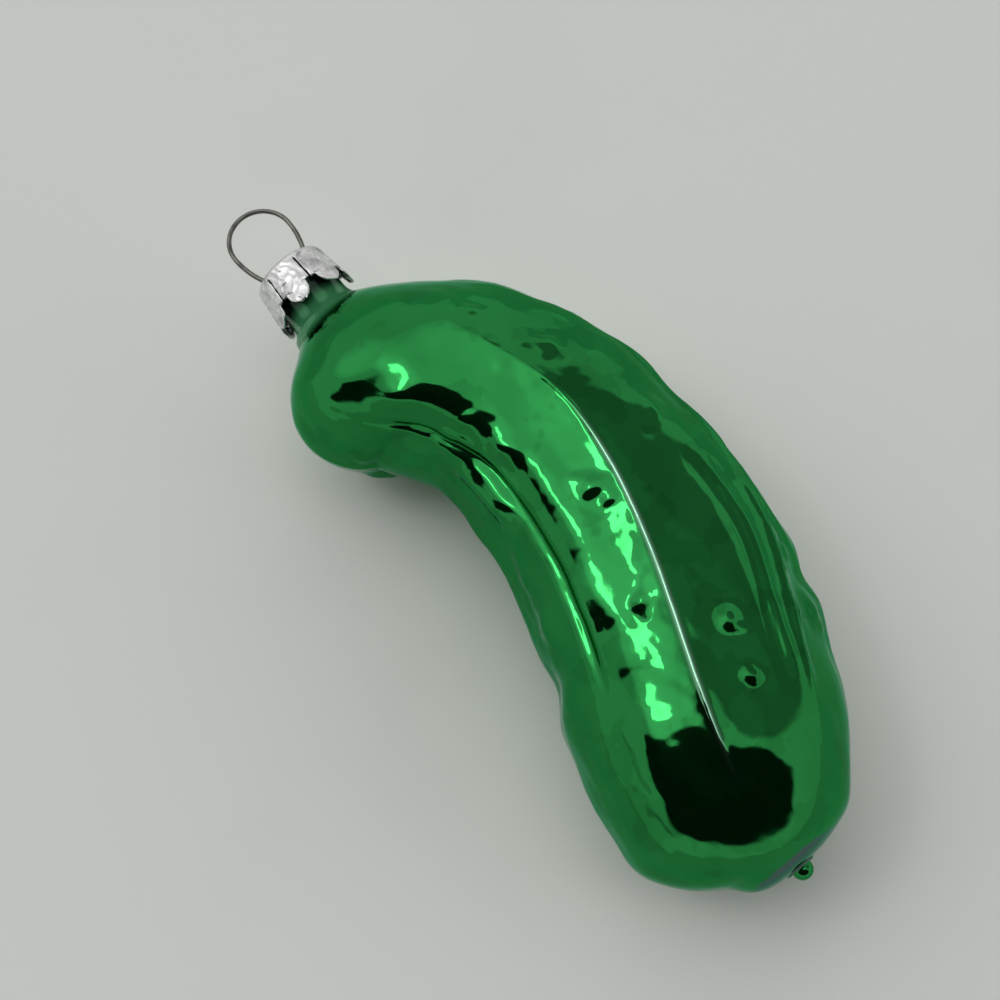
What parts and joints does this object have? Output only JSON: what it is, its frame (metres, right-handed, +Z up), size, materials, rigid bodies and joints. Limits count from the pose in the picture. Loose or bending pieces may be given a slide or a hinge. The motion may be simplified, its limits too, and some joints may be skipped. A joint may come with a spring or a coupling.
{
  "type": "pickle ornament",
  "caption": "Hollow blown-glass pickle with ribs and warts, a petalled metal cap on its neck and a wire loop to hang it by.",
  "frame": {"origin": "on the surface that the ornament lies on, under the middle of its bounding box", "axes": "+X along the blow axis from the cap to the sealed tip, +Y to the outside of the bend, +Z up"},
  "size_m": [0.122, 0.047, 0.0367],
  "materials": {
    "lacquered_glass": "gloss",
    "cap_metal": "satin",
    "wire": "satin"
  },
  "bodies": {
    "glass": {"glass_body": "lacquered_glass"},
    "cap": {"cap": "cap_metal"},
    "hanger": {"hanger": "wire"}
  },
  "joints": [
    {"name": "cap_pull_off", "type": "slide", "parent": "glass", "child": "cap", "axis": [-1, 0, 0], "range_m": [0, 0.016]},
    {"name": "hanger_tilt", "type": "hinge", "parent": "cap", "child": "hanger", "pos_m": [-0.04958, -0.00724, 0.01828], "axis": [0, 1, 0], "range_deg": [-8, 8]}
  ]
}
